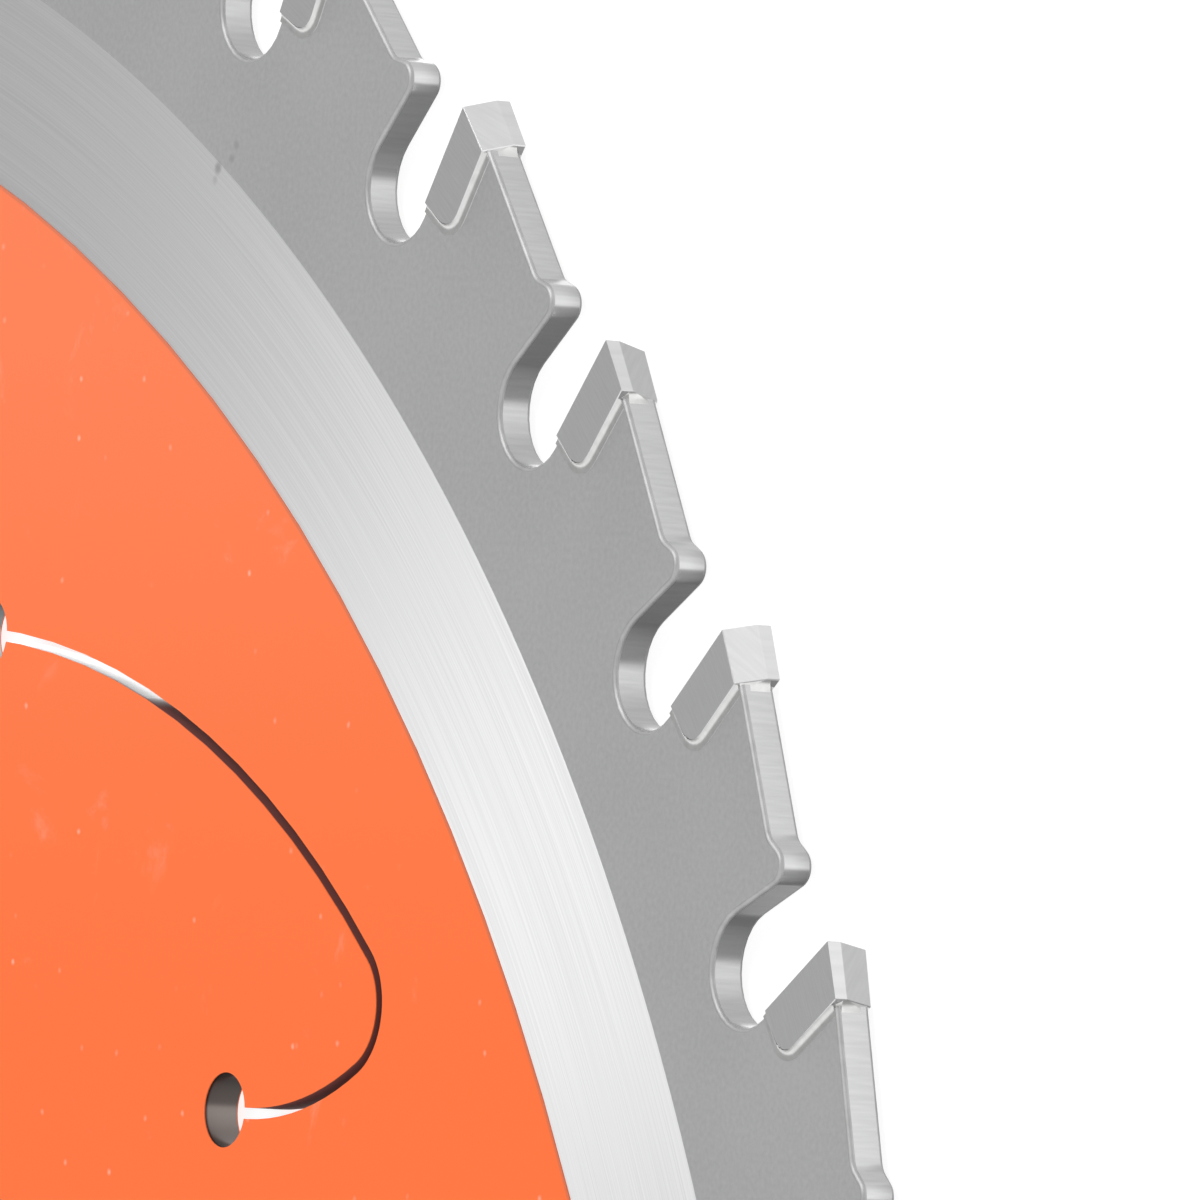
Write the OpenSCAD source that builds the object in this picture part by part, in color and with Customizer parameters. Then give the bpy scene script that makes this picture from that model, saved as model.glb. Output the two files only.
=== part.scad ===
// Circular saw blade with brazed carbide tips, lying flat.
// Millimetres. The origin is on the blade's axis, on the surface that the tips rest on, with +Z up.
// One tooth points along +X, and every tooth cuts counter-clockwise, seen from above.

/* [Blade] */
// Diameter over the cutting corners of the tips
blade_d = 250; // [235:1:280]
// Number of teeth, with the bevel changing side from each tooth to the next
tooth_count = 48; // [42:2:54]
// Thickness of the steel plate
plate_t = 1.7; // [1.4:0.1:3]
// Diameter of the arbor bore
bore_d = 30; // [16:0.5:40]

/* [Coat] */
// Diameter of the coloured coat on each face
coat_d = 204.7; // [198:0.1:216]
// Thickness of the coat
coat_t = 0.05; // [0.03:0.01:0.2]

/* [Carbide tips] */
// Length of a tip, down its cutting face
tip_l = 5.6; // [4.5:0.1:6.5]
// Thickness of a tip, from its cutting face to its back
tip_w = 2.5; // [2:0.1:3.2]
// How far a tip stands out beyond each face of the plate
tip_overhang = 0.3; // [0.2:0.05:0.6]
// Radius of the corner of a tip that sits in its seat
tip_corner_r = 1; // [0.4:0.1:1.6]
// Forward lean of the cutting face
hook_angle = 4; // [0:1:12]
// Fall of a tip's top towards its back
top_relief = 13.5; // [8:0.5:18]
// Slope of the bevelled part of a tip's top
bevel_angle = 16; // [5:1:25]
// Width of the flat land beside the bevel
land_w = 0.7; // [0.3:0.1:1.2]
// Taper of each side of a tip, down its cutting face
radial_relief = 0.8; // [0:0.1:1]
// Taper of each side of a tip, towards its back
back_relief = 1.5; // [0:0.1:2]

/* [Braze] */
// Thickness of the braze between a tip and its seat
braze_gap = 0.1; // [0.05:0.01:0.2]
// Width of the braze bead on the plate's face
bead_w = 0.45; // [0.1:0.05:0.6]
// Height of the braze bead above the plate's face
bead_h = 0.14; // [0.04:0.01:0.18]

/* [Teeth] */
// Step from the top of a tip down to the steel behind it
back_step = 0.3; // [0.1:0.05:0.6]
// Fall of the tooth's back
back_angle = 15; // [12:0.5:17]
// Radius of the gullet
gullet_r = 2.6; // [2.3:0.05:2.85]
// Depth of the gullet below the cutting corner
gullet_depth = 8.9; // [8.5:0.1:10.5]
// Width of the mouth between a cutting face and the hump before it
gullet_mouth = 4.6; // [4:0.1:5.2]
// Depth of the hump's top below the cutting corner
hump_drop = 1.7; // [1.4:0.1:2.2]
// Radius of the hump
hump_r = 0.9; // [0.6:0.05:1.1]
// Slope of the hump's rise from the tooth's back
hump_rise = 26; // [20:1:34]
// Radius of the hollow where the tooth's back meets the hump
hollow_r = 0.9; // [0.3:0.1:1.2]

/* [Slots] */
// Number of vibration slots
slot_count = 6; // [3:1:8]
// Width of a slot
slot_w = 0.5; // [0.4:0.05:1]
// Diameter of the hole at each end of a slot
slot_hole_d = 3.4; // [2:0.1:4.5]
// Distance of the inner end hole from the coat's edge
slot_inset = 21.65; // [19:0.05:26]
// Angle of the inner end hole round the blade
slot_start_angle = 41.65; // [0:0.05:60]
// Direction of the slot where it leaves the inner hole, from the radial line
slot_lean = -47.5; // [-54:0.5:-41]
// Radius of the stretch next to the inner hole
slot_neck_r = 18.3; // [16:0.1:20]
// Turn of that stretch, in degrees
slot_neck_turn = 35; // [31:0.5:39]
// Radius of the bend at the slot's outer end
slot_bend_r = 3.1; // [2.5:0.1:3.5]
// Turn of that bend
slot_bend_turn = 109; // [104:1:114]
// Radius of the long sweep to the outer hole
slot_sweep_r = 55.2; // [50:0.1:60]
// Turn of that sweep
slot_sweep_turn = 38.9; // [32:0.1:43]

/* [Hidden] */
$fn = 96;
// Degrees between the points of a rounded stretch of an outline: usual, small corner, slot bend and long sweep
arc_step = 12;
corner_step = 18;
bend_step = 6;
sweep_step = 3;
// Size of the blocks that cut the tips' faces
cut_size = 4 * tip_l;

tip_r = blade_d / 2;
pitch = 360 / tooth_count;
kerf = plate_t + 2 * tip_overhang;
plate_z = tip_overhang;
plate_top = plate_z + plate_t;
seat_w = tip_w + braze_gap;
// Fall of a tip's top over its thickness, measured along the cutting face
top_fall = tip_w * tan(top_relief + hook_angle);
seat_top = top_fall + back_step;
// A bead starts lower, where its outer edge meets the falling back of the tooth
bead_top = seat_top + bead_w * tan(back_angle + hook_angle);

function direction(a) = [cos(a), sin(a)];
function turned(p, a) = [p.x * cos(a) - p.y * sin(a), p.x * sin(a) + p.y * cos(a)];
function arc(c, r, a0, a1, step) =
    let (n = ceil(abs(a1 - a0) / step))
    [for (i = [0 : n]) c + r * direction(a0 + (a1 - a0) * i / n)];
function heading(v) = atan2(v.y, v.x);

// A point beside a tooth: down its cutting face from the corner, then back into the tooth
function beside(down, back) =
    [tip_r, 0] - down * direction(hook_angle) + back * direction(hook_angle - 90);

// Where two lines meet, each given by a point and a direction
function crossing(p, d, q, e) =
    let (side = d.x * e.y - d.y * e.x, gap = q - p)
    p + d * (gap.x * e.y - gap.y * e.x) / side;

// The rounded seat of a tip, grown outwards by some distance, from its top to its front
function seat_line(top, grow) =
    let (r = tip_corner_r + grow, c = beside(tip_l - tip_corner_r, tip_w - tip_corner_r))
    concat([beside(top, tip_w + grow)],
           arc(c, r, hook_angle - 90, hook_angle - 180, corner_step),
           [beside(tip_l + grow, 0)]);

gullet_c = beside(gullet_depth - gullet_r, -gullet_r);
hump_c = beside(hump_drop + hump_r, -gullet_mouth - hump_r);
hump_way = hump_c - gullet_c;
// Direction across the straight wall that joins the gullet to the hump
wall_across = heading(hump_way) + acos((gullet_r + hump_r) / norm(hump_way));
gullet_line = arc(gullet_c, gullet_r, hook_angle - 90, wall_across - 360, arc_step);
hump_line = arc(hump_c, hump_r, wall_across - 180, hump_rise, arc_step);

// The hollow is tangent to the hump's rise and to the back of the next tooth
rise_way = direction(hump_rise + 90);
next_back_way = direction(90 - back_angle + pitch);
next_back_top = turned(beside(seat_top, seat_w), pitch);
hollow_corner = crossing(hump_c + hump_r * direction(hump_rise), rise_way, next_back_top, next_back_way);
hollow_turn = hump_rise + back_angle - pitch;
hollow_c = hollow_corner - hollow_r * tan(hollow_turn / 2) * rise_way + hollow_r * direction(hump_rise);
hollow_line = arc(hollow_c, hollow_r, hump_rise + 180, hump_rise + 180 - hollow_turn, arc_step);

tooth_line = concat(seat_line(seat_top, braze_gap), gullet_line, hump_line, hollow_line);
plate_line = [for (k = [0 : tooth_count - 1], p = tooth_line) turned(p, k * pitch)];

// The slot's three stretches, each turning left from where the last one ends
slot_start = (coat_d / 2 - slot_inset) * direction(slot_start_angle);
slot_way = slot_start_angle + slot_lean;
neck_c = slot_start + slot_neck_r * direction(slot_way + 90);
bend_way = slot_way + slot_neck_turn;
bend_c = neck_c + (slot_neck_r - slot_bend_r) * direction(bend_way - 90);
sweep_way = bend_way + slot_bend_turn;
sweep_c = bend_c + (slot_bend_r - slot_sweep_r) * direction(sweep_way - 90);
end_way = sweep_way + slot_sweep_turn;
slot_end = sweep_c + slot_sweep_r * direction(end_way - 90);

// One side of the slot, at some distance outside its centre line
function slot_side(out) =
    concat(arc(neck_c, slot_neck_r + out, slot_way - 90, bend_way - 90, sweep_step),
           arc(bend_c, slot_bend_r + out, bend_way - 90, sweep_way - 90, bend_step),
           arc(sweep_c, slot_sweep_r + out, sweep_way - 90, end_way - 90, sweep_step));
function reversed(list) = [for (i = [len(list) - 1 : -1 : 0]) list[i]];

function tip_name(k) = str("tip_", k < 9 ? "0" : "", k + 1);

// All vibration slots with their end holes, and the arbor bore
module plate_openings() {
    circle(d = bore_d);
    for (k = [0 : slot_count - 1]) rotate(k * 360 / slot_count) {
        polygon(concat(slot_side(slot_w / 2), reversed(slot_side(-slot_w / 2))));
        translate(slot_start) circle(d = slot_hole_d);
        translate(slot_end) circle(d = slot_hole_d);
    }
}

module saw_plate() {
    color("silver")
    translate([0, 0, plate_z]) linear_extrude(plate_t) difference() {
        polygon(plate_line);
        plate_openings();
    }
}

module coat(z) {
    color("coral")
    translate([0, 0, z]) linear_extrude(coat_t) difference() {
        circle(d = coat_d, $fn = 180);
        plate_openings();
    }
}

module coat_top() coat(plate_top);
module coat_bottom() coat(plate_z - coat_t);

// A strip of braze along the seat, from the tip out to some distance
module braze_strip(z, height, top, reach) {
    translate([0, 0, z]) linear_extrude(height)
        polygon(concat(seat_line(top, reach), reversed(seat_line(top, 0))));
}

module braze() {
    color("gainsboro")
    for (k = [0 : tooth_count - 1]) rotate(k * pitch) {
        braze_strip(plate_z, plate_t, seat_top, braze_gap);
        braze_strip(plate_top, bead_h, bead_top, braze_gap + bead_w);
        braze_strip(plate_z - bead_h, bead_h, bead_top, braze_gap + bead_w);
    }
}

// The space beyond a tip's bevel, which falls towards the upper face
module bevel_cut() {
    translate([tip_r, 0, land_w]) rotate(-top_relief) rotate([0, -bevel_angle, 0])
        translate([0, -cut_size / 2, -cut_size / 2]) cube(cut_size);
}

// The space beyond a tip's tapered upper side
module side_cut() {
    translate([tip_r, 0, kerf]) rotate(hook_angle) rotate([back_relief, -radial_relief, 0])
        translate([-cut_size / 2, -cut_size / 2, 0]) cube(cut_size);
}

module turn_over() translate([0, 0, kerf]) mirror([0, 0, 1]) children();

module tip_body() {
    difference() {
        linear_extrude(kerf) polygon(concat([[tip_r, 0]], seat_line(top_fall, 0)));
        bevel_cut();
        side_cut();
        turn_over() side_cut();
    }
}

// Tips with an odd place in the row fall to the upper face, the others to the lower one
module tip(k) {
    color("darkgray")
    rotate(k * pitch)
        if (k % 2 == 1) tip_body();
        else turn_over() tip_body();
}

saw_plate();
coat_top();
coat_bottom();
braze();
for (k = [0 : tooth_count - 1]) tip(k);
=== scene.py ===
# %% [markdown]
# # A carbide-tipped circular saw blade
# The blade is a flat disc of tool steel. Carbide tips are brazed into seats round its rim, and each face
# has an orange low-friction coat. It lies flat, and the camera looks down on its rim. The solids already
# have the right sizes, so this lesson only refines edges and braze, and gives every surface its finish.

# %% The solids
import math

import bmesh
import bpy
from mathutils import Matrix, Vector


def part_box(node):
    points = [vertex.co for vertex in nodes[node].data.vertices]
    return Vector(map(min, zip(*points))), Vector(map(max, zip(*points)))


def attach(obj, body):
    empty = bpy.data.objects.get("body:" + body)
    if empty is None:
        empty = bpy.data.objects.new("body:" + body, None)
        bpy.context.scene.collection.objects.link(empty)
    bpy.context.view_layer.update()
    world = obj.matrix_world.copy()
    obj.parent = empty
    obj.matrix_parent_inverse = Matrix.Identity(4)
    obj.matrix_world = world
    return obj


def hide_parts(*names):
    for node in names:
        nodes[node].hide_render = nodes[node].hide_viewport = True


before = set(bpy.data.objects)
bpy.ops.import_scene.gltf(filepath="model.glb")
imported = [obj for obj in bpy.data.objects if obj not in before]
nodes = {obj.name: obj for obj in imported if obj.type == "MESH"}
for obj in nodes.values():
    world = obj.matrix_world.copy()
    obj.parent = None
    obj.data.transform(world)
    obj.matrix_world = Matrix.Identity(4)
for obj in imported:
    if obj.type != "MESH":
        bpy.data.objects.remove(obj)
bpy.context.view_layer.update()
MM = 0.001
plate_low, plate_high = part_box("saw_plate")
tip_names = sorted(name for name in nodes if name.startswith("tip_"))
pitch = 2 * math.pi / len(tip_names)
print(len(nodes), "solids,", len(tip_names), "tips, plate from", plate_low.z, "to", plate_high.z, "m")

# %% [markdown]
# ## The camera
# The picture is a close view with a very long lens, from about 80 cm away and 33 degrees above the plate. A
# long lens keeps the teeth the same size from top to bottom. The eye and the aim are points in the blade's
# own frame, and the top of the picture is almost the blade's Y axis.

# %% Camera
EYE = Vector((778.08, 57.46, 456.53)) * MM
AIM = Vector((88.63, 76.95, 2.0)) * MM
PICTURE_UP = Vector((-0.0107, 0.9982, 0.0590))
LENS_MM, SENSOR_MM = 565.4, 36

backward = (EYE - AIM).normalized()
rightward = PICTURE_UP.cross(backward).normalized()
turn = Matrix((rightward, backward.cross(rightward), backward)).transposed()
bpy.ops.object.camera_add(location=EYE, rotation=turn.to_euler())
camera = bpy.context.object
camera.data.lens = LENS_MM
camera.data.sensor_width = SENSOR_MM
bpy.context.scene.camera = camera
print("camera", round((EYE - AIM).length, 3), "m from its aim")

# %% [markdown]
# ## Helpers for finishes
# A colour is written as the hex value that a paint program shows, and Blender wants linear light, so one
# function turns the one into the other. Another adds a node with its settings, and a third starts an empty
# finish. A node's inputs are given by name or number, or as a list in the order of its sockets, and each is
# a value or the socket that feeds it. In a Map Range that order is the value, the range it comes from and
# the range it goes to. In a Mix of colours, socket 0 is the share, and 6 and 7 are the two colours.

# %% Colour and node helpers
def linear(code):
    parts = [int(code[i:i + 2], 16) / 255 for i in (1, 3, 5)]
    return (*[c / 12.92 if c <= 0.04045 else ((c + 0.055) / 1.055) ** 2.4 for c in parts], 1)


def add(tree, kind, settings=None, inputs=None):
    node = tree.nodes.new(kind)
    for name, value in (settings or {}).items():
        setattr(node, name, value)
    pairs = inputs.items() if isinstance(inputs, dict) else enumerate(inputs or [])
    for socket, value in pairs:
        if isinstance(value, bpy.types.NodeSocket):
            tree.links.new(value, node.inputs[socket])
        else:
            node.inputs[socket].default_value = value
    return node


def finish_named(name):
    material = bpy.data.materials.new(name)
    material.use_nodes = True
    material.node_tree.nodes.clear()
    return material, material.node_tree


print("orange in linear light", [round(c, 3) for c in linear("#FC7033")])

# %% [markdown]
# ## Round the axis
# Grinding marks, the coat's edge and the bright ring all follow circles round the bore. A finish that
# follows them needs the distance from the axis and the angle round it, both worked out from Object
# coordinates.

# %% Distance and angle round the axis
def round_axis(tree, place):
    split = add(tree, "ShaderNodeSeparateXYZ", inputs=[place])
    flat = add(tree, "ShaderNodeVectorMath", {"operation": "MULTIPLY"}, [place, (1, 1, 0)])
    distance = add(tree, "ShaderNodeVectorMath", {"operation": "LENGTH"}, [flat.outputs[0]])
    angle = add(tree, "ShaderNodeMath", {"operation": "ARCTAN2"}, [split.outputs[1], split.outputs[0]])
    return distance.outputs["Value"], angle.outputs[0]


print("the plate reaches", round(plate_high.x / MM, 1), "mm from the axis")

# %% [markdown]
# ## Two tones
# No real surface has one flat colour. Most finishes here have two close tones, laid out by a noise pattern.
# Few values of a noise texture lie outside 0.3 to 0.7, so that range is spread over the two tones.

# %% Two tones from a pattern
NOISE_LOW, NOISE_HIGH = 0.3, 0.7


def two_tones(tree, pattern, dark, light, low=NOISE_LOW, high=NOISE_HIGH):
    share = add(tree, "ShaderNodeMapRange", inputs=[pattern, low, high, 0, 1])
    tones = add(tree, "ShaderNodeMix", {"data_type": "RGBA"},
                {0: share.outputs[0], 6: linear(dark), 7: linear(light)})
    return tones.outputs[2]


print("noise from", NOISE_LOW, "to", NOISE_HIGH, "makes two tones")

# %% [markdown]
# ## Stains
# A few small dark stains sit where the bright ring meets the tooth rim. They are only discoloured steel, so
# they belong in the finish: soft dots at places measured on the plate.

# %% Soft dots
# Place across and up the plate, and radius, in millimetres, then how much of the stain's colour shows
STAINS = [(56.70, 97.23, 0.32, 0.18), (56.38, 96.63, 0.32, 0.18), (55.26, 96.21, 0.4, 0.32),
          (55.06, 95.67, 0.3, 0.14)]
STAIN_CORE = 0.2


def stained(tree, place, colour):
    for x, y, radius, depth in STAINS:
        spot = Vector((x * MM, y * MM, plate_high.z))
        away = add(tree, "ShaderNodeVectorMath", {"operation": "DISTANCE"}, [place, spot])
        dot = add(tree, "ShaderNodeMapRange", {"interpolation_type": "SMOOTHSTEP"},
                  [away.outputs["Value"], STAIN_CORE * radius * MM, radius * MM, depth, 0])
        mixed = add(tree, "ShaderNodeMix", {"data_type": "RGBA"},
                    {0: dot.outputs[0], 6: colour, 7: linear("#4E4A48")})
        colour = mixed.outputs[2]
    return colour


print(len(STAINS), "stains")

# %% [markdown]
# ## The bright ring
# Between the coat and the tooth rim, the plate is finished on a surface grinder while it turns. That leaves
# fine circular lines, and light spreads across them, so the ring brightens and dims round the blade. It
# could be drawn as bright and dark sectors, but those would stay put when the light moves. So lines 0.09 mm
# wide give the streaks, and an anisotropic shader with a tangent round Z gives the spread.

# %% Ground steel: circular lines
RING_LINE = 0.09 * MM
RING_ARC = 30 * MM
RING_R = 111.2 * MM

ring_steel, tree = finish_named("ground_tool_steel")
place = add(tree, "ShaderNodeTexCoord").outputs["Object"]
distance, angle = round_axis(tree, place)
across = add(tree, "ShaderNodeMath", {"operation": "DIVIDE"}, [distance, RING_LINE])
along = add(tree, "ShaderNodeMath", {"operation": "MULTIPLY"}, [angle, RING_R / RING_ARC])
line_place = add(tree, "ShaderNodeCombineXYZ", inputs=[across.outputs[0], along.outputs[0]])
lines = add(tree, "ShaderNodeTexNoise", {"noise_dimensions": "2D"},
            {"Vector": line_place.outputs[0], "Scale": 1, "Detail": 3, "Roughness": 0.6})
print("ring lines", RING_LINE / MM, "mm wide and about", RING_ARC / MM, "mm long")

# %% Ground steel: bright satin that spreads light across its lines
shade = two_tones(tree, lines.outputs[0], "#DEDEDF", "#E8E8E8")
rough = add(tree, "ShaderNodeMapRange", inputs=[lines.outputs[0], NOISE_LOW, NOISE_HIGH, 0.75, 0.72])
bump = add(tree, "ShaderNodeBump",
           inputs={"Strength": 0.08, "Distance": 0.01 * MM, "Height": lines.outputs[0]})
round_z = add(tree, "ShaderNodeTangent", {"direction_type": "RADIAL", "axis": "Z"})
shader = add(tree, "ShaderNodeBsdfPrincipled",
             inputs={"Base Color": stained(tree, place, shade), "Metallic": 1, "Roughness": rough.outputs[0],
                     "Normal": bump.outputs[0], "Tangent": round_z.outputs[0], "Anisotropic": 0.85,
                     "Anisotropic Rotation": 0.25})
add(tree, "ShaderNodeOutputMaterial", inputs={"Surface": shader.outputs[0]})
print(ring_steel.name)

# %% [markdown]
# ## The tooth rim
# Outside the ring the steel keeps a dull blasted surface: a fine even grain, much finer than a pixel on the
# real blade, so here it is drawn 0.25 mm wide to show at all. Wide faint clouds keep it from looking
# printed.

# %% Blasted steel: dull even grey with a fine grain
RIM_GRAIN, RIM_CLOUD = 0.25 * MM, 9 * MM
CLOUD_SHARE = 0.6
BOTH_LOW, BOTH_HIGH = 0.5, 1.0

rim_steel, tree = finish_named("blasted_tool_steel")
place = add(tree, "ShaderNodeTexCoord").outputs["Object"]
grain = add(tree, "ShaderNodeTexNoise", inputs={"Vector": place, "Scale": 1 / RIM_GRAIN, "Detail": 2})
cloud = add(tree, "ShaderNodeTexNoise", inputs={"Vector": place, "Scale": 1 / RIM_CLOUD, "Detail": 2})
both = add(tree, "ShaderNodeMath", {"operation": "MULTIPLY_ADD"},
           [cloud.outputs[0], CLOUD_SHARE, grain.outputs[0]])
shade = two_tones(tree, both.outputs[0], "#BFBFC0", "#C9C9C9", BOTH_LOW, BOTH_HIGH)
bump = add(tree, "ShaderNodeBump",
           inputs={"Strength": 0.12, "Distance": 0.02 * MM, "Height": grain.outputs[0]})
shader = add(tree, "ShaderNodeBsdfPrincipled",
             inputs={"Base Color": stained(tree, place, shade), "Metallic": 1, "Roughness": 0.5,
                     "Normal": bump.outputs[0]})
add(tree, "ShaderNodeOutputMaterial", inputs={"Surface": shader.outputs[0]})
print(rim_steel.name, "grain", RIM_GRAIN / MM, "mm")

# %% [markdown]
# ## The cut edges
# Gullets, humps and slots are cut by laser. The gullets are then ground smooth, so their walls are shinier
# than the rim. Their colour is also painted darker deep in the gullets and lighter towards the tips, as
# painted shade and light. The cut leaves faint lines straight through the plate, so the pattern is squeezed
# across the wall and drawn out along Z.

# %% Cut steel: lines through the plate
CUT_LINE = 0.18 * MM
DRAWN_OUT = 0.08
GULLET_LOW, GULLET_HIGH = 117 * MM, 121 * MM

cut_steel, tree = finish_named("laser_cut_tool_steel")
place = add(tree, "ShaderNodeTexCoord").outputs["Object"]
distance, angle = round_axis(tree, place)
stretched = add(tree, "ShaderNodeVectorMath", {"operation": "MULTIPLY"},
                [place, (1 / CUT_LINE, 1 / CUT_LINE, DRAWN_OUT / CUT_LINE)])
lines = add(tree, "ShaderNodeTexNoise", inputs={"Vector": stretched.outputs[0], "Scale": 1, "Detail": 1})
shade = two_tones(tree, lines.outputs[0], "#BDBDBE", "#C4C4C4")
# Painted shade and light: the wall colour is scaled darker deep in the gullets and lighter towards the tips.
painted_gullet_shade = add(tree, "ShaderNodeMapRange", inputs=[distance, GULLET_LOW, GULLET_HIGH, 0.88, 1.03])
ground = add(tree, "ShaderNodeVectorMath", {"operation": "SCALE"}, {0: shade, "Scale": painted_gullet_shade.outputs[0]})
print("cut lines", CUT_LINE / MM, "mm apart")

# %% [markdown]
# The slots lie inside the coat and aren't ground, so their walls keep dull brown scale from the cut, while
# the reamed bore is clean. Each slot is clean and bright near its outer hole, and its inner hole has only a
# grey-brown tint, which is partly heat tint from the cut and partly painted shade in the recessed walls.
# All six are alike, so each point is first turned back to one slot, and two distances there tell where along
# it the point lies.

# %% Cut steel: the place along a slot
SLOT_COUNT = 6
SLOT_FROM = math.radians(33.3)
INNER_HOLE = Vector((60.30, 53.63, 1.15)) * MM
OUTER_HOLE = Vector((37.65, 74.88, 1.15)) * MM

one_slot = add(tree, "ShaderNodeMath", {"operation": "WRAP"},
               [angle, SLOT_FROM + 2 * math.pi / SLOT_COUNT, SLOT_FROM])
turned = add(tree, "ShaderNodeMath", {"operation": "SUBTRACT"}, [one_slot.outputs[0], angle])
first = add(tree, "ShaderNodeVectorRotate", {"rotation_type": "Z_AXIS"},
            {"Vector": place, "Angle": turned.outputs[0]})
from_outer = add(tree, "ShaderNodeVectorMath", {"operation": "DISTANCE"}, [first.outputs[0], OUTER_HOLE])
from_inner = add(tree, "ShaderNodeVectorMath", {"operation": "DISTANCE"}, [first.outputs[0], INNER_HOLE])
print("slot holes", round((OUTER_HOLE - INNER_HOLE).length / MM, 1), "mm apart")

# %% Cut steel: grey-brown tint with painted shade, and a burnt line under the coat's edge
BORE_TO, SLOTS_FROM = 20 * MM, 40 * MM
COATED_TO, BARE_FROM = 100 * MM, 104 * MM
CLEAN_TO, TINTED_FROM = 14 * MM, 15.5 * MM
BURNT_FROM, BURNT_FULL = 7 * MM, 11 * MM
LINE_LOW, LINE_HIGH = plate_high.z - 0.16 * MM, plate_high.z - 0.06 * MM

past_bore = add(tree, "ShaderNodeMapRange", inputs=[distance, BORE_TO, SLOTS_FROM, 0, 1])
in_coat = add(tree, "ShaderNodeMapRange", inputs=[distance, COATED_TO, BARE_FROM, 1, 0])
coated = add(tree, "ShaderNodeMath", {"operation": "MULTIPLY"}, [past_bore.outputs[0], in_coat.outputs[0]])
clean = add(tree, "ShaderNodeMapRange", inputs=[from_outer.outputs["Value"], CLEAN_TO, TINTED_FROM, 0, 1])
inside = add(tree, "ShaderNodeMath", {"operation": "MULTIPLY"}, [coated.outputs[0], clean.outputs[0]])
# Painted shade: the walls in the slots and holes are darkened with a grey-brown tint, partly heat tint from
# the cut.
tint_and_shade = add(tree, "ShaderNodeMix", {"data_type": "RGBA"},
           {0: inside.outputs[0], 6: ground.outputs[0], 7: linear("#7A716D")})
split = add(tree, "ShaderNodeSeparateXYZ", inputs=[place])
line = add(tree, "ShaderNodeMapRange", inputs=[split.outputs[2], LINE_LOW, LINE_HIGH, 0, 0.9])
near = add(tree, "ShaderNodeMapRange", inputs=[from_outer.outputs["Value"], BURNT_FROM, BURNT_FULL, 0, 1])
line_there = add(tree, "ShaderNodeMath", {"operation": "MULTIPLY"}, [line.outputs[0], near.outputs[0]])
burn = add(tree, "ShaderNodeMath", {"operation": "MULTIPLY"}, [line_there.outputs[0], coated.outputs[0]])
burnt = add(tree, "ShaderNodeMix", {"data_type": "RGBA"},
            {0: burn.outputs[0], 6: tint_and_shade.outputs[2], 7: linear("#3E2A28")})
print("slot walls tinted more than", CLEAN_TO / MM, "mm from the outer hole")

# %% Cut steel: shiny ground walls, dull brown scale in the slots
HOLE_TO, SCALE_FROM = 1.95 * MM, 2.3 * MM

past_hole = add(tree, "ShaderNodeMapRange", inputs=[from_inner.outputs["Value"], HOLE_TO, SCALE_FROM, 0, 1])
scale = add(tree, "ShaderNodeMath", {"operation": "MULTIPLY"}, [inside.outputs[0], past_hole.outputs[0]])
scaled = add(tree, "ShaderNodeMix", {"data_type": "RGBA"},
             {0: scale.outputs[0], 6: burnt.outputs[2], 7: linear("#824A44")})
metal = add(tree, "ShaderNodeMapRange", inputs=[scale.outputs[0], 0, 1, 1, 0.1])
rough = add(tree, "ShaderNodeMapRange", inputs=[scale.outputs[0], 0, 1, 0.24, 0.7])
bump = add(tree, "ShaderNodeBump",
           inputs={"Strength": 0.015, "Distance": 0.01 * MM, "Height": lines.outputs[0]})
shader = add(tree, "ShaderNodeBsdfPrincipled",
             inputs={"Base Color": scaled.outputs[2], "Metallic": metal.outputs[0],
                     "Roughness": rough.outputs[0], "Normal": bump.outputs[0]})
add(tree, "ShaderNodeOutputMaterial", inputs={"Surface": shader.outputs[0]})
print(cut_steel.name)

# %% [markdown]
# ## The broken edges
# Sharp edges are broken by a brush after cutting, which leaves a narrow soft line all round the teeth. It
# is a little darker and duller than the walls, so that it doesn't glare.

# %% Brushed edge: a soft grey line
EDGE_WEAR = 0.8 * MM

edge_steel, tree = finish_named("brushed_steel_edge")
place = add(tree, "ShaderNodeTexCoord").outputs["Object"]
wear = add(tree, "ShaderNodeTexNoise", inputs={"Vector": place, "Scale": 1 / EDGE_WEAR, "Detail": 2})
shade = two_tones(tree, wear.outputs[0], "#B2B2B2", "#C0C0C0")
shader = add(tree, "ShaderNodeBsdfPrincipled", inputs={"Base Color": shade, "Metallic": 1, "Roughness": 0.58})
add(tree, "ShaderNodeOutputMaterial", inputs={"Surface": shader.outputs[0]})
print(edge_steel.name, "wear", EDGE_WEAR / MM, "mm wide")

# %% [markdown]
# ## The steel plate
# The solid's mesh is loose triangles, so a copy of it is merged and its flat faces are joined up. A thin
# tube at the ring's radius then cuts a circle into both faces, so that ring and rim can have finishes of
# their own. Last, the edges round the teeth are bevelled. The bevel stops at the coat, which runs over the
# slots' edges.

# %% Plate: merged copy
TOUCHING = 0.001 * MM
FLAT_WITHIN = math.radians(0.5)


def flat_of(vector):
    return math.hypot(vector.x, vector.y)


bpy.ops.object.select_all(action="DESELECT")
plate = bpy.data.objects.new("steel_plate", nodes["saw_plate"].data.copy())
bpy.context.scene.collection.objects.link(plate)
bpy.context.view_layer.objects.active = plate
plate.select_set(True)
plate.data.materials.clear()
for finish in (ring_steel, rim_steel, cut_steel, edge_steel):
    plate.data.materials.append(finish)
bpy.ops.object.mode_set(mode="EDIT")
bpy.ops.mesh.customdata_custom_splitnormals_clear()
bpy.ops.mesh.select_mode(type="FACE")
bpy.ops.mesh.select_all(action="SELECT")
bpy.ops.mesh.remove_doubles(threshold=TOUCHING)
bpy.ops.mesh.dissolve_limited(angle_limit=FLAT_WITHIN)
print("plate merged to", len(bmesh.from_edit_mesh(plate.data).faces), "faces")

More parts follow.
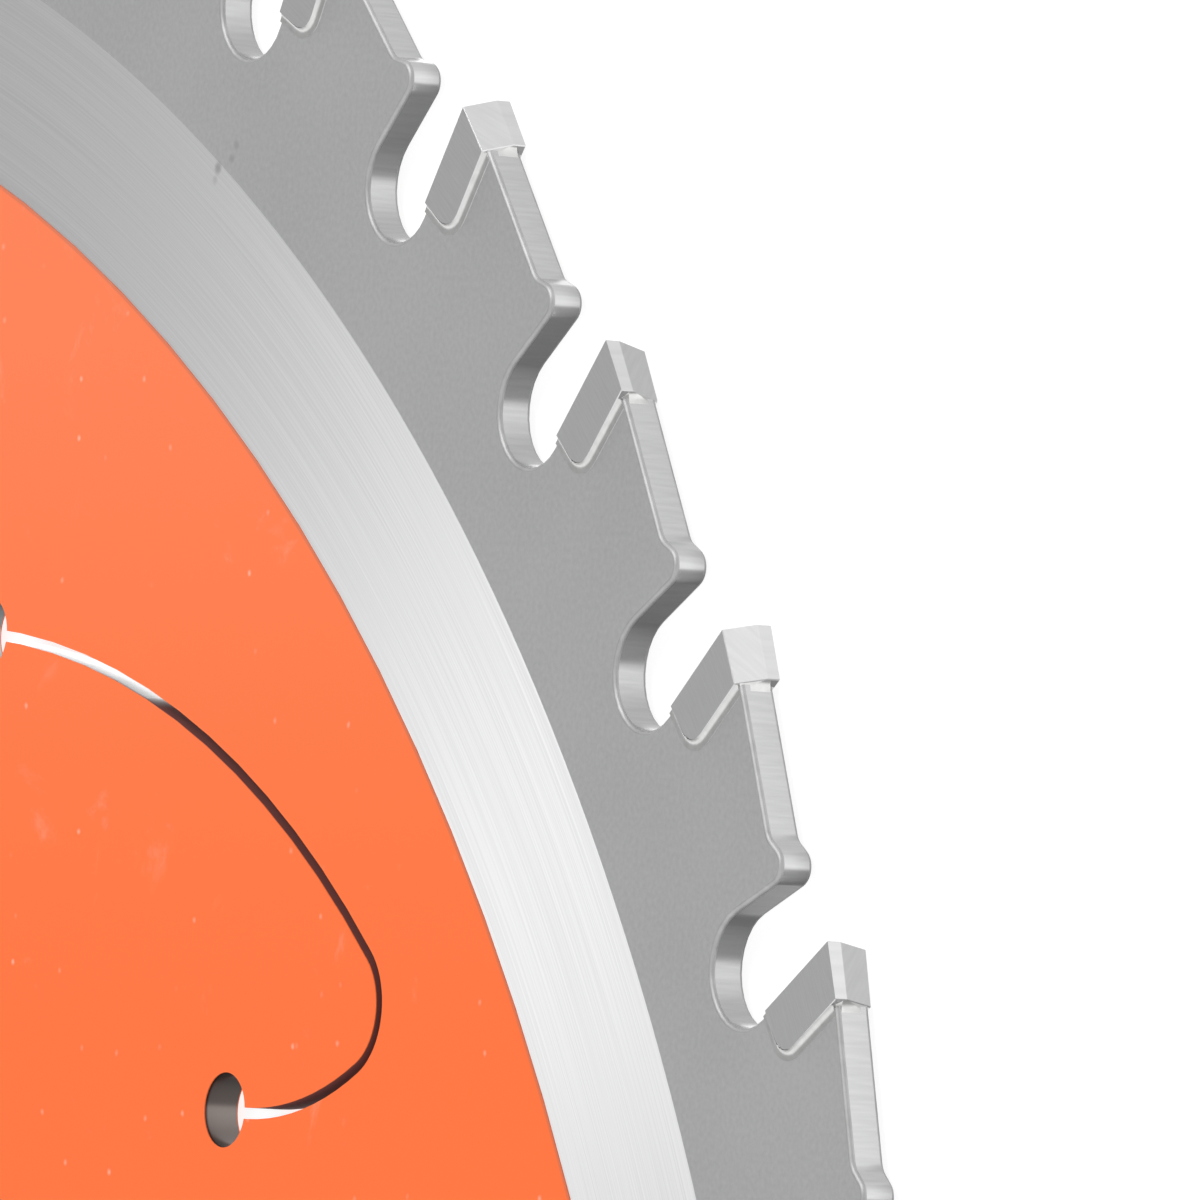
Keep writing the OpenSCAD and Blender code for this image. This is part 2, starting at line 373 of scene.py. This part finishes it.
# %% Plate: circle between ring and rim
TUBE_SIDES, TUBE_DEPTH = 360, 6 * MM
UPRIGHT, LEVEL = 0.1, 0.9
ON_RING = 0.05 * MM

middle_z = (plate_low.z + plate_high.z) / 2
bpy.ops.mesh.select_all(action="DESELECT")
bpy.ops.mesh.primitive_cylinder_add(vertices=TUBE_SIDES, radius=RING_R, depth=TUBE_DEPTH,
                                    end_fill_type="NOTHING", location=(0, 0, middle_z))
bpy.ops.mesh.intersect(mode="SELECT_UNSELECT", separate_mode="NONE", solver="EXACT")
bpy.ops.mesh.select_all(action="DESELECT")
shape = bmesh.from_edit_mesh(plate.data)
for face in shape.faces:
    upright = abs(face.normal.z) < UPRIGHT
    face.select = upright and abs(flat_of(face.calc_center_median()) - RING_R) < ON_RING
bmesh.update_edit_mesh(plate.data)
bpy.ops.mesh.delete(type="FACE")
print("plate cut to", len(bmesh.from_edit_mesh(plate.data).faces), "faces")

# %% [markdown]
# Edges in a tip's seat stay sharp, because the braze runs over them. A point is in a seat when it lies
# behind the tip's cutting face and above its lower end, so each point is first turned back to the tooth on
# the X axis.

# %% Plate: which edges lie in a seat
HOOK = math.radians(4)
TIP_R, TIP_L, TIP_W, GAP = 125, 5.6, 2.5, 0.1
SLACK = 0.02

inward = -Vector((math.cos(HOOK), math.sin(HOOK), 0))
behind = Vector((math.sin(HOOK), -math.cos(HOOK), 0))


def beside(down, back):
    return (Vector((TIP_R, 0, 0)) + down * inward + back * behind) * MM


def in_seat(spot):
    tooth = round(math.atan2(spot.y, spot.x) / pitch)
    away = Matrix.Rotation(-tooth * pitch, 3, "Z") @ spot - beside(0, 0)
    above_end = away.dot(inward) < (TIP_L + GAP + SLACK) * MM
    return above_end and SLACK * MM < away.dot(behind) < (TIP_W + GAP + SLACK) * MM


print("seat corner at", [round(v / MM, 2) for v in beside(TIP_L, TIP_W)], "mm")

# %% Plate: edges and finishes
EDGE_BREAK, EDGE_STEPS = 0.2 * MM, 3
RING, RIM, CUT, EDGE = range(4)

shape = bmesh.from_edit_mesh(plate.data)
for face in shape.faces:
    if abs(face.normal.z) < UPRIGHT:
        face.material_index = CUT
    else:
        face.material_index = RIM if max(flat_of(v.co) for v in face.verts) > RING_R + ON_RING else RING
bpy.ops.mesh.select_mode(type="EDGE")
bpy.ops.mesh.select_all(action="DESELECT")
for edge in shape.edges:
    middle = (edge.verts[0].co + edge.verts[1].co) / 2
    slopes = sorted(abs(face.normal.z) for face in edge.link_faces)
    square = len(slopes) == 2 and slopes[0] < UPRIGHT and slopes[1] > LEVEL
    edge.select = square and flat_of(middle) > RING_R and not in_seat(middle)
bmesh.update_edit_mesh(plate.data)
bpy.ops.mesh.bevel(offset=EDGE_BREAK, segments=EDGE_STEPS, profile=0.5, affect="EDGES", material=EDGE)
bpy.ops.object.mode_set(mode="OBJECT")
print("plate bevelled to", len(plate.data.polygons), "faces")

# %% Plate: shading and place
PLATE_SMOOTH = math.radians(40)

bpy.ops.object.shade_smooth_by_angle(angle=PLATE_SMOOTH)
plate.modifiers.new("flat faces stay flat", "WEIGHTED_NORMAL").keep_sharp = True
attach(plate, "root")
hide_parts("saw_plate")
print(plate.name, "stands for the solid plate")

# %% [markdown]
# ## The carbide tips
# Tungsten carbide is a dark, hard, fine metal-like ceramic. The tips are ground on diamond wheels, so their
# faces are flat and satin, with very fine lines. The solids already have the right facets. A weld and a
# tiny bevel, both as modifiers, give each edge the hair-thin line of light that a real ground edge has.

# %% Ground carbide: satin grey with hair-fine lines
CARBIDE_LINE = 0.09 * MM
CARBIDE_ARC = 20 * CARBIDE_LINE

carbide, tree = finish_named("ground_tungsten_carbide")
place = add(tree, "ShaderNodeTexCoord").outputs["Object"]
distance, angle = round_axis(tree, place)
across = add(tree, "ShaderNodeMath", {"operation": "DIVIDE"}, [distance, CARBIDE_LINE])
along = add(tree, "ShaderNodeMath", {"operation": "MULTIPLY"}, [angle, TIP_R * MM / CARBIDE_ARC])
line_place = add(tree, "ShaderNodeCombineXYZ", inputs=[across.outputs[0], along.outputs[0]])
lines = add(tree, "ShaderNodeTexNoise", {"noise_dimensions": "2D"},
            {"Vector": line_place.outputs[0], "Scale": 1, "Detail": 2})
shade = two_tones(tree, lines.outputs[0], "#D2D2D3", "#D8D8D8")
bump = add(tree, "ShaderNodeBump",
           inputs={"Strength": 0.03, "Distance": 0.02 * MM, "Height": lines.outputs[0]})
shader = add(tree, "ShaderNodeBsdfPrincipled",
             inputs={"Base Color": shade, "Metallic": 1, "Roughness": 0.33, "Normal": bump.outputs[0]})
add(tree, "ShaderNodeOutputMaterial", inputs={"Surface": shader.outputs[0]})
print(carbide.name, "lines", CARBIDE_LINE / MM, "mm wide")

# %% Tips: finish and hair-thin edges
TIP_EDGE = 0.035 * MM
TIP_EDGE_OVER = math.radians(10)

for name in tip_names:
    tip = nodes[name]
    tip.material_slots[0].material = carbide
    weld = tip.modifiers.new("weld", "WELD")
    weld.merge_threshold = TOUCHING
    hair = tip.modifiers.new("ground edge", "BEVEL")
    hair.width = TIP_EDGE
    hair.segments = 1
    hair.limit_method = "ANGLE"
    hair.angle_limit = TIP_EDGE_OVER
print(len(tip_names), "tips finished")

# %% [markdown]
# ## The braze
# Each tip is held by silver braze, which melts into the seat and leaves a bright hollow fillet along the
# tip's back and under it, on both faces. A bevelled strip would be too plain for that. So the fillet's
# section is drawn once, hollow on both faces, and swept along one seat as a curve's bevel. A lip closes the
# gap behind the tip, and both are then copied round the blade.

# %% Silver braze: bright and slightly rippled
RIPPLE = 0.5 * MM

braze_metal, tree = finish_named("silver_braze")
place = add(tree, "ShaderNodeTexCoord").outputs["Object"]
ripple = add(tree, "ShaderNodeTexNoise", inputs={"Vector": place, "Scale": 1 / RIPPLE, "Detail": 3})
shade = two_tones(tree, ripple.outputs[0], "#CBCBCA", "#D8D8D7")
bump = add(tree, "ShaderNodeBump",
           inputs={"Strength": 0.08, "Distance": 0.03 * MM, "Height": ripple.outputs[0]})
shader = add(tree, "ShaderNodeBsdfPrincipled",
             inputs={"Base Color": shade, "Metallic": 1, "Roughness": 0.3, "Normal": bump.outputs[0]})
add(tree, "ShaderNodeOutputMaterial", inputs={"Surface": shader.outputs[0]})
print(braze_metal.name, "ripples", RIPPLE / MM, "mm wide")

# %% Braze: route along one seat, and the fillet's section
TIP_CORNER, SEAT_TOP = 1.0, 1.09
REACH, CLIMB, FOOT = 0.46, 0.19, 0.02
HOLLOWNESS = 5

bend = [math.radians(a) for a in range(0, 91, 15)]
route = [beside(SEAT_TOP - REACH / 4, TIP_W)]
route += [beside(TIP_L + TIP_CORNER * (math.sin(a) - 1), TIP_W + TIP_CORNER * (math.cos(a) - 1))
          for a in bend]
route += [beside(TIP_L, 0)]
half = (plate_high.z - plate_low.z) / 2 / MM
inwards = [i / 10 for i in range(10, -1, -1)]
hollow = [(REACH + FOOT, -FOOT)]
hollow += [(REACH * t, FOOT + (CLIMB - FOOT) * (1 - t) ** HOLLOWNESS) for t in inwards]
upper = [(out, half + up) for out, up in hollow]
lower = [(out, -z) for out, z in reversed(upper)]
section = [(GAP, half - FOOT)] + upper + lower + [(GAP, FOOT - half)]
print("section of", len(section), "points along a route of", len(route))

# %% Braze: section swept along the seat
bpy.ops.object.select_all(action="DESELECT")
profile = bpy.data.curves.new("braze_section", "CURVE")
spline = profile.splines.new("POLY")
spline.points.add(len(section) - 1)
spline.use_cyclic_u = True
for point, (out, z) in zip(spline.points, section):
    point.co = (-out * MM, z * MM, 0, 1)
section_piece = bpy.data.objects.new("braze_section", profile)
bpy.context.scene.collection.objects.link(section_piece)
seat = bpy.data.curves.new("braze_fillets", "CURVE")
seat.dimensions = "2D"
spline = seat.splines.new("POLY")
spline.points.add(len(route) - 1)
for point, spot in zip(spline.points, route):
    point.co = (*spot, 1)
seat.bevel_mode = "OBJECT"
seat.bevel_object = section_piece
seat.use_fill_caps = True
braze = bpy.data.objects.new("braze_fillets", seat)
bpy.context.scene.collection.objects.link(braze)
bpy.context.view_layer.objects.active = braze
braze.select_set(True)
bpy.ops.object.convert(target="MESH")
bpy.data.objects.remove(section_piece)
print("fillet swept, with", len(braze.data.polygons), "faces")

# %% Braze: fillet trimmed below the tooth's back
BACK_FALL = math.radians(15)
FINE = 0.0001 * MM

back_normal = Vector((math.cos(BACK_FALL), -math.sin(BACK_FALL), 0))
below_edge = beside(SEAT_TOP, TIP_W + GAP) - back_normal * EDGE_BREAK
bpy.ops.object.mode_set(mode="EDIT")
bpy.ops.mesh.select_all(action="SELECT")
bpy.ops.mesh.remove_doubles(threshold=TOUCHING)
bpy.ops.transform.translate(value=(0, 0, middle_z))
bpy.ops.mesh.bisect(plane_co=below_edge, plane_no=back_normal, use_fill=True, clear_outer=True,
                    threshold=FINE)
bpy.ops.mesh.select_all(action="SELECT")
bpy.ops.mesh.normals_make_consistent(inside=False)
bpy.ops.object.mode_set(mode="OBJECT")
lows = [min(v.co[i] for v in braze.data.vertices) / MM for i in range(3)]
highs = [max(v.co[i] for v in braze.data.vertices) / MM for i in range(3)]
print("fillet from", [round(v, 2) for v in lows], "to", [round(v, 2) for v in highs], "mm")

# %% [markdown]
# Behind the tip, braze also wells up into a small lip, which curves from the tip's back down to the
# tooth's. Its outline is extruded across the plate in three moves, and the first and last lean in with the
# bevelled edge of the tooth.

# %% Braze: lip behind the tip
LIP_UP, LIP_BACK, LIP_SUNK, LIP_ROOT = 0.27, 0.9, 0.05, 0.35

corner = beside(SEAT_TOP - GAP * math.tan(HOOK + BACK_FALL), TIP_W)
top = beside(SEAT_TOP - LIP_UP, TIP_W)
foot = corner + (Vector((back_normal.y, -back_normal.x, 0)) * LIP_BACK - back_normal * LIP_SUNK) * MM
backwards = [i / 8 for i in range(9)]
outline = [beside(SEAT_TOP + LIP_ROOT, TIP_W + GAP), beside(SEAT_TOP + LIP_ROOT, TIP_W)]
outline += [top * (1 - t) ** 2 + corner * 2 * t * (1 - t) + foot * t ** 2 for t in backwards]
sink = back_normal * EDGE_BREAK
rise = Vector((0, 0, EDGE_BREAK))
width = Vector((0, 0, 2 * (half - FOOT) * MM))
bpy.ops.object.select_all(action="DESELECT")
bpy.ops.mesh.primitive_circle_add(vertices=len(outline), radius=MM, fill_type="NGON")
lip = bpy.context.object
for vertex, spot in zip(lip.data.vertices, outline):
    vertex.co = (*(spot - sink).xy, plate_low.z + FOOT * MM)
bpy.ops.object.mode_set(mode="EDIT")
bpy.ops.mesh.select_all(action="SELECT")
for move in (sink + rise, width - 2 * rise, rise - sink):
    bpy.ops.mesh.extrude_region_move(TRANSFORM_OT_translate={"value": move})
bpy.ops.mesh.select_all(action="SELECT")
bpy.ops.mesh.normals_make_consistent(inside=False)
bpy.ops.object.mode_set(mode="OBJECT")
print("lip has", len(lip.data.polygons), "faces")

# %% [markdown]
# The tips are ground after brazing, so each lip is cut by the plane of its tip's bevel, which falls to one
# face on odd teeth and to the other on even ones. So there are two kinds of lip, each copied to every
# second tooth.

# %% Braze: ground lips, two kinds
RELIEF, BEVEL, LAND, KERF = math.radians(13.5), math.radians(16), 0.7, 2.3
BELOW_BEVEL = 0.02

land_normal = Vector((math.cos(RELIEF), -math.sin(RELIEF), 0))
lips = []
for first_tooth, (height, side) in enumerate(((KERF - LAND, -1), (LAND, 1))):
    bpy.ops.object.select_all(action="DESELECT")
    kind = bpy.data.objects.new("lip", lip.data.copy())
    bpy.context.scene.collection.objects.link(kind)
    bpy.context.view_layer.objects.active = kind
    kind.select_set(True)
    bevel_normal = land_normal * math.cos(BEVEL) + Vector((0, 0, side * math.sin(BEVEL)))
    bpy.ops.object.mode_set(mode="EDIT")
    bpy.ops.mesh.select_all(action="SELECT")
    bpy.ops.mesh.bisect(plane_co=Vector((TIP_R - BELOW_BEVEL, 0, height)) * MM, plane_no=bevel_normal,
                        use_fill=True, clear_outer=True, threshold=FINE)
    bpy.ops.object.mode_set(mode="OBJECT")
    kind.data.transform(Matrix.Rotation(first_tooth * pitch, 4, "Z"))
    bpy.ops.object.mode_set(mode="EDIT")
    bpy.ops.mesh.select_all(action="SELECT")
    bpy.ops.mesh.spin(steps=len(tip_names) // 2 - 1, dupli=True, angle=pitch * (len(tip_names) - 2),
                      center=(0, 0, 0), axis=(0, 0, 1))
    bpy.ops.object.mode_set(mode="OBJECT")
    lips.append(kind)
    print("lips from tooth", first_tooth, "have", len(kind.data.polygons), "faces")
bpy.data.objects.remove(lip)

# %% Braze: all teeth
BRAZE_SMOOTH = math.radians(24)

bpy.ops.object.select_all(action="DESELECT")
bpy.context.view_layer.objects.active = braze
braze.select_set(True)
bpy.ops.object.mode_set(mode="EDIT")
bpy.ops.mesh.select_all(action="SELECT")
bpy.ops.mesh.spin(steps=len(tip_names) - 1, dupli=True, angle=pitch * (len(tip_names) - 1), center=(0, 0, 0),
                  axis=(0, 0, 1))
bpy.ops.object.mode_set(mode="OBJECT")
for kind in lips:
    kind.select_set(True)
bpy.ops.object.join()
braze.data.materials.clear()
braze.data.materials.append(braze_metal)
bpy.ops.object.shade_smooth_by_angle(angle=BRAZE_SMOOTH)
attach(braze, "root")
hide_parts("braze")
print("braze has", len(braze.data.polygons), "faces")

# %% [markdown]
# ## The orange coat
# The coat is a baked low-friction paint. It is satin and slightly uneven to the touch, with tiny pale dust
# specks and a few faint smudges. A faint pale sheen towards +Y is painted into its colour, as a painted
# reflection. Its edge is drawn as a thin dark line just inside it. Specks are the middles of a Voronoi
# pattern's cells, and chance leaves most cells without one.

# %% Low-friction paint: dust specks
SPECK_CELL = 3 * MM
SPECK_SIZE = 0.07
WOBBLE, WOBBLE_CELL = 0.12 * MM, 0.4 * MM

coat, tree = finish_named("baked_low_friction_paint")
place = add(tree, "ShaderNodeTexCoord").outputs["Object"]
wobble = add(tree, "ShaderNodeTexNoise", inputs={"Vector": place, "Scale": 1 / WOBBLE_CELL, "Detail": 1})
bent = add(tree, "ShaderNodeVectorMath", {"operation": "MULTIPLY_ADD"},
           [wobble.outputs["Color"], (WOBBLE, WOBBLE, 0), place])
specks = add(tree, "ShaderNodeTexVoronoi", {"voronoi_dimensions": "2D"},
             {"Vector": bent.outputs[0], "Scale": 1 / SPECK_CELL})
speck = add(tree, "ShaderNodeMapRange", {"interpolation_type": "SMOOTHSTEP"},
            [specks.outputs["Distance"], 0, SPECK_SIZE, 1, 0])
chance = add(tree, "ShaderNodeMapRange", inputs=[specks.outputs["Color"], 0.58, 0.9, 0, 0.7])
dust = add(tree, "ShaderNodeMath", {"operation": "MULTIPLY"}, [speck.outputs[0], chance.outputs[0]])
print("specks in cells of", SPECK_CELL / MM, "mm")

# %% Low-friction paint: smudges and painted sheen
SMUDGE = 7 * MM
SHEEN_FROM, SHEEN_FULL, SHEEN = 55 * MM, 97 * MM, 0.13

cloud = add(tree, "ShaderNodeTexNoise", inputs={"Vector": place, "Scale": 1 / SMUDGE, "Detail": 5,
                                                "Roughness": 0.65, "Distortion": 1.2})
smudge = add(tree, "ShaderNodeMapRange", {"interpolation_type": "SMOOTHSTEP"},
             [cloud.outputs[0], 0.6, 0.78, 0, 0.3])
marks = add(tree, "ShaderNodeMath", {"operation": "MAXIMUM"}, [dust.outputs[0], smudge.outputs[0]])
split = add(tree, "ShaderNodeSeparateXYZ", inputs=[place])
# Painted sheen: the coat is painted paler towards +Y as a painted reflection, and this is added to the dust
# and smudges.
painted_sheen = add(tree, "ShaderNodeMapRange", {"interpolation_type": "SMOOTHSTEP"},
           [split.outputs[1], SHEEN_FROM, SHEEN_FULL, 0, SHEEN])
dust_and_sheen = add(tree, "ShaderNodeMath", {"operation": "ADD"}, [marks.outputs[0], painted_sheen.outputs[0]])
paint = add(tree, "ShaderNodeMix", {"data_type": "RGBA"},
            {0: dust_and_sheen.outputs[0], 6: linear("#FC7033"), 7: linear("#F9B9A2")})
print("smudges about", SMUDGE / MM, "mm wide")

# %% Low-friction paint: dark edge line, satin surface
COAT_R = 102.35 * MM
LINE_INNER, LINE_OUTER = COAT_R - 0.25 * MM, COAT_R - 0.08 * MM
PEEL = 0.7 * MM

distance = round_axis(tree, place)[0]
edge_line = add(tree, "ShaderNodeMapRange", {"interpolation_type": "SMOOTHSTEP"},
                [distance, LINE_INNER, LINE_OUTER, 0, 0.4])
edged = add(tree, "ShaderNodeMix", {"data_type": "RGBA"},
            {0: edge_line.outputs[0], 6: paint.outputs[2], 7: linear("#8C6A5C")})
peel = add(tree, "ShaderNodeTexNoise", inputs={"Vector": place, "Scale": 1 / PEEL, "Detail": 2})
bump = add(tree, "ShaderNodeBump",
           inputs={"Strength": 0.1, "Distance": 0.02 * MM, "Height": peel.outputs[0]})
shader = add(tree, "ShaderNodeBsdfPrincipled",
             inputs={"Base Color": edged.outputs[2], "Roughness": 0.5, "Specular IOR Level": 0.25,
                     "Normal": bump.outputs[0]})
add(tree, "ShaderNodeOutputMaterial", inputs={"Surface": shader.outputs[0]})
for name in ("coat_top", "coat_bottom"):
    nodes[name].material_slots[0].material = coat
print(coat.name, "on both faces")

# %% [markdown]
# ## The light table
# The blade lies on a pale light table, so the gaps between the teeth show as clean white. The table is only
# there for the camera: what the steel mirrors is the studio round it.

# %% Floor
bpy.ops.object.select_all(action="DESELECT")
bpy.ops.mesh.primitive_plane_add(size=12, location=(0, 0, 0))
floor = bpy.context.object
floor.name = "floor"
table, tree = finish_named("opal_light_table")
shader = add(tree, "ShaderNodeBsdfPrincipled",
             inputs={"Base Color": linear("#8A8A8A"), "Roughness": 0.9, "Emission Color": (1, 1, 1, 1),
                     "Emission Strength": 0.85})
add(tree, "ShaderNodeOutputMaterial", inputs={"Surface": shader.outputs[0]})
floor.data.materials.append(table)
floor.visible_glossy = floor.visible_diffuse = floor.visible_shadow = False
print("floor", floor.dimensions[:])

# %% [markdown]
# ## The studio
# Bare steel shows mostly what it mirrors, so the studio is what draws the teeth. Its walls are listed by
# the direction in which they stand, in degrees round Z, with how bright they are. They are bright on the
# camera's side and opposite it, and dark between, on the -Y side, which gives each gullet its dark, bright
# and grey bands.

# %% Studio: walls
PANELS = [(-180, 2.0), (-150, 1.0), (-118, 0.24), (-95, 0.3), (-75, 0.42), (-50, 0.5), (-18, 0.55),
          (-6, 1.45), (18, 1.45), (32, 1.3), (45, 1.25), (60, 1.08), (75, 1.0), (110, 0.95), (138, 0.95),
          (146, 2.0), (180, 2.2)]

scene = bpy.context.scene
scene.view_settings.view_transform = "Standard"
world = bpy.data.worlds.new("studio")
scene.world = world
world.use_nodes = True
tree = world.node_tree
tree.nodes.clear()
toward = add(tree, "ShaderNodeTexCoord").outputs["Generated"]
split = add(tree, "ShaderNodeSeparateXYZ", inputs=[toward])
angle = add(tree, "ShaderNodeMath", {"operation": "ARCTAN2"}, [split.outputs[1], split.outputs[0]])
share = add(tree, "ShaderNodeMapRange", inputs=[angle.outputs[0], -math.pi, math.pi, 0, 1])
walls = add(tree, "ShaderNodeValToRGB", inputs=[share.outputs[0]])
ramp = walls.color_ramp
while len(ramp.elements) < len(PANELS):
    ramp.elements.new(0.5)
for element, (degrees, level) in zip(ramp.elements, PANELS):
    element.position = (degrees + 180) / 360
    element.color = (level, level, level, 1)
print(len(PANELS), "wall panels")

# %% [markdown]
# The walls fade a little towards the ground. Above them is a soft sky, which the flat faces mirror. It is
# brighter on the -Y side.

# %% Studio: ground and sky
GROUND, WALL_FOOT = -0.9, -0.5
WALL_TOP = 0.35
BRIGHT_SIDE, DIM_SIDE = -0.38, -0.1

fade = add(tree, "ShaderNodeMapRange", inputs=[split.outputs[2], GROUND, WALL_FOOT, 0.6, 1])
faded = add(tree, "ShaderNodeVectorMath", {"operation": "SCALE"},
            {0: walls.outputs[0], "Scale": fade.outputs[0]})
height = add(tree, "ShaderNodeMapRange", {"interpolation_type": "SMOOTHSTEP"},
             [split.outputs[2], 0, WALL_TOP, 0, 1])
side = add(tree, "ShaderNodeMapRange", {"interpolation_type": "SMOOTHSTEP"},
           [split.outputs[1], BRIGHT_SIDE, DIM_SIDE, 1.15, 0.46])
sky = add(tree, "ShaderNodeMix", {"data_type": "RGBA"},
          {0: height.outputs[0], 6: faded.outputs[0], 7: side.outputs[0]})
glow = add(tree, "ShaderNodeBackground", inputs={"Color": sky.outputs[2], "Strength": 1})
add(tree, "ShaderNodeOutputWorld", inputs={"Surface": glow.outputs[0]})
print("sky above", WALL_TOP)

# %% [markdown]
# One large soft lamp stands high on the +Y side. The ring's circular lines catch it, which makes the bright
# stretch of the ring.

# %% Studio: lamp
LAMP_PLACE = Vector((0.09, 0.83, 0.92))
LAMP_SIZE, LAMP_WATTS = 0.7, 7

bpy.ops.object.light_add(type="AREA", location=LAMP_PLACE,
                         rotation=(LAMP_PLACE - AIM).to_track_quat("Z", "Y").to_euler())
lamp = bpy.context.object
lamp.data.shape = "DISK"
lamp.data.size = LAMP_SIZE
lamp.data.energy = LAMP_WATTS
print("lamp", round((LAMP_PLACE - AIM).length, 2), "m away")
